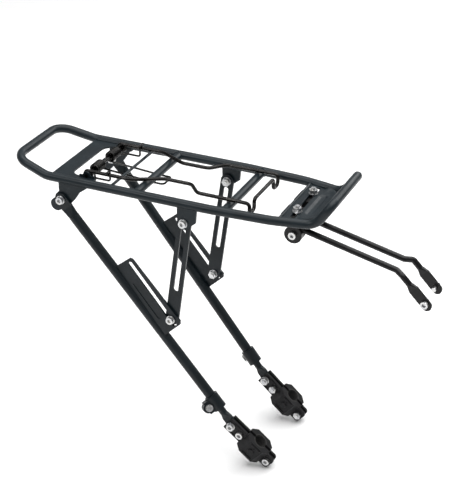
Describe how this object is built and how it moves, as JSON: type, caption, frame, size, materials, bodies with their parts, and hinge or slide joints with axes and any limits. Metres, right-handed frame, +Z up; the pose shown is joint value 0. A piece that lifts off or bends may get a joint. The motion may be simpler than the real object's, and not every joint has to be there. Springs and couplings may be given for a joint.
{
  "type": "bicycle rear rack",
  "caption": "Seat-stay mounted bicycle rear rack with a tube deck, a sprung clip, slotted folding legs with clamp feet and adjustable front stays.",
  "frame": {"origin": "centre of the deck on the axis of the front crossbar, in the plane of the rail tubes' axes", "axes": "+X forward along the deck, +Y to the bicycle's left, +Z up"},
  "size_m": [0.5783, 0.1616, 0.4184],
  "materials": {
    "frame": "satin black paint",
    "wire": "black plated steel wire",
    "leg_paint": "satin black paint",
    "foot_metal": "black coated die casting",
    "liner": "matt rubber",
    "zinc": "bright zinc plate"
  },
  "bodies": {
    "deck": {"deck_loop": "frame", "rear_plate": "frame", "cross_rod": "frame", "crossbar_mid": "frame", "crossbar_front": "frame", "front_plate": "frame", "rear_bracket_right": "frame", "rear_bracket_left": "frame", "front_bracket_right": "frame", "front_bracket_left": "frame", "clip_lugs": "frame", "clip_pivot_rod": "wire", "leg_pivot_bolts": "zinc", "leg_pivot_nuts": "zinc", "link_top_bolts": "zinc", "link_top_nuts": "zinc", "clip_spring": "wire"},
    "clip": {"clip_bail": "wire"},
    "leg_right": {"leg_tube_right": "leg_paint", "adjuster_plate_right": "leg_paint", "leg_collar_right": "leg_paint", "collar_bolt_right": "zinc"},
    "link_right": {"link_right": "leg_paint", "slot_bolt_right": "zinc", "slot_nut_right": "zinc"},
    "rod_right": {"leg_rod_right": "leg_paint"},
    "foot_right": {"foot_jaw_outer_right": "foot_metal", "foot_jaw_inner_right": "foot_metal", "foot_liner_right": "liner", "foot_bolts_right": "zinc", "foot_nuts_right": "zinc"},
    "stay_slider_right": {"stay_bracket_right": "leg_paint", "stay_bracket_bolt_right": "zinc"},
    "stay_clamp_right": {"stay_disc_right": "leg_paint", "stay_disc_bolt_right": "zinc"},
    "stay_bar_right": {"stay_arm_right": "leg_paint", "stay_end_bolt_right": "zinc"},
    "leg_left": {"leg_tube_left": "leg_paint", "adjuster_plate_left": "leg_paint", "leg_collar_left": "leg_paint", "collar_bolt_left": "zinc"},
    "link_left": {"link_left": "leg_paint", "slot_bolt_left": "zinc", "slot_nut_left": "zinc"},
    "rod_left": {"leg_rod_left": "leg_paint"},
    "foot_left": {"foot_jaw_outer_left": "foot_metal", "foot_jaw_inner_left": "foot_metal", "foot_liner_left": "liner", "foot_bolts_left": "zinc", "foot_nuts_left": "zinc"},
    "stay_slider_left": {"stay_bracket_left": "leg_paint", "stay_bracket_bolt_left": "zinc"},
    "stay_clamp_left": {"stay_disc_left": "leg_paint", "stay_disc_bolt_left": "zinc"},
    "stay_bar_left": {"stay_arm_left": "leg_paint", "stay_end_bolt_left": "zinc"}
  },
  "joints": [
    {"name": "clip_hinge", "type": "hinge", "parent": "deck", "child": "clip", "pos_m": [-0.203, 0, 0.00405], "axis": [0, -1, 0], "range_deg": [0, 85], "stiffness_Nm_per_rad": 0.5, "springref_deg": -28.65, "deforming": ["clip_spring"]},
    {"name": "leg_hinge_right", "type": "hinge", "parent": "deck", "child": "leg_right", "pos_m": [-0.231, -0.0717, -0.027], "axis": [0, 1, 0], "range_deg": [-1, 10]},
    {"name": "link_hinge_right", "type": "hinge", "parent": "deck", "child": "link_right", "pos_m": [-0.053, -0.0653, -0.025], "axis": [0, 1, 0], "range_deg": [-2.2, 20.9]},
    {"name": "rod_slide_right", "type": "slide", "parent": "leg_right", "child": "rod_right", "axis": [0.629, 0.0314, -0.7768], "range_m": [-0.009, 0.1]},
    {"name": "foot_hinge_right", "type": "hinge", "parent": "rod_right", "child": "foot_right", "pos_m": [0.01117, -0.06005, -0.32606], "axis": [-0.0198, 0.9995, 0.0244], "range_deg": [-15, 15]},
    {"name": "stay_spacing_right", "type": "slide", "parent": "deck", "child": "stay_slider_right", "axis": [0, -1, 0], "range_m": [-0.002, 0.01]},
    {"name": "stay_tilt_right", "type": "hinge", "parent": "stay_slider_right", "child": "stay_clamp_right", "pos_m": [0.078, -0.0153, -0.0355], "axis": [0, 1, 0], "range_deg": [-12, 12]},
    {"name": "stay_reach_right", "type": "slide", "parent": "stay_clamp_right", "child": "stay_bar_right", "axis": [0.9744, 0, -0.225], "range_m": [-0.03, 0.004]},
    {"name": "leg_hinge_left", "type": "hinge", "parent": "deck", "child": "leg_left", "pos_m": [-0.231, 0.0717, -0.027], "axis": [0, 1, 0], "range_deg": [-1, 10]},
    {"name": "link_hinge_left", "type": "hinge", "parent": "deck", "child": "link_left", "pos_m": [-0.053, 0.0653, -0.025], "axis": [0, 1, 0], "range_deg": [-2.2, 20.9]},
    {"name": "rod_slide_left", "type": "slide", "parent": "leg_left", "child": "rod_left", "axis": [0.629, -0.0314, -0.7768], "range_m": [-0.009, 0.1]},
    {"name": "foot_hinge_left", "type": "hinge", "parent": "rod_left", "child": "foot_left", "pos_m": [0.01117, 0.06005, -0.32606], "axis": [0.0198, 0.9995, -0.0244], "range_deg": [-15, 15]},
    {"name": "stay_spacing_left", "type": "slide", "parent": "deck", "child": "stay_slider_left", "axis": [0, 1, 0], "range_m": [-0.002, 0.01]},
    {"name": "stay_tilt_left", "type": "hinge", "parent": "stay_slider_left", "child": "stay_clamp_left", "pos_m": [0.078, 0.0153, -0.0355], "axis": [0, 1, 0], "range_deg": [-12, 12]},
    {"name": "stay_reach_left", "type": "slide", "parent": "stay_clamp_left", "child": "stay_bar_left", "axis": [0.9744, 0, -0.225], "range_m": [-0.03, 0.004]}
  ],
  "couplings": [
    {"joint": "link_hinge_right", "follows": "leg_hinge_right", "ratio": 2.075},
    {"joint": "link_hinge_left", "follows": "leg_hinge_left", "ratio": 2.075}
  ]
}
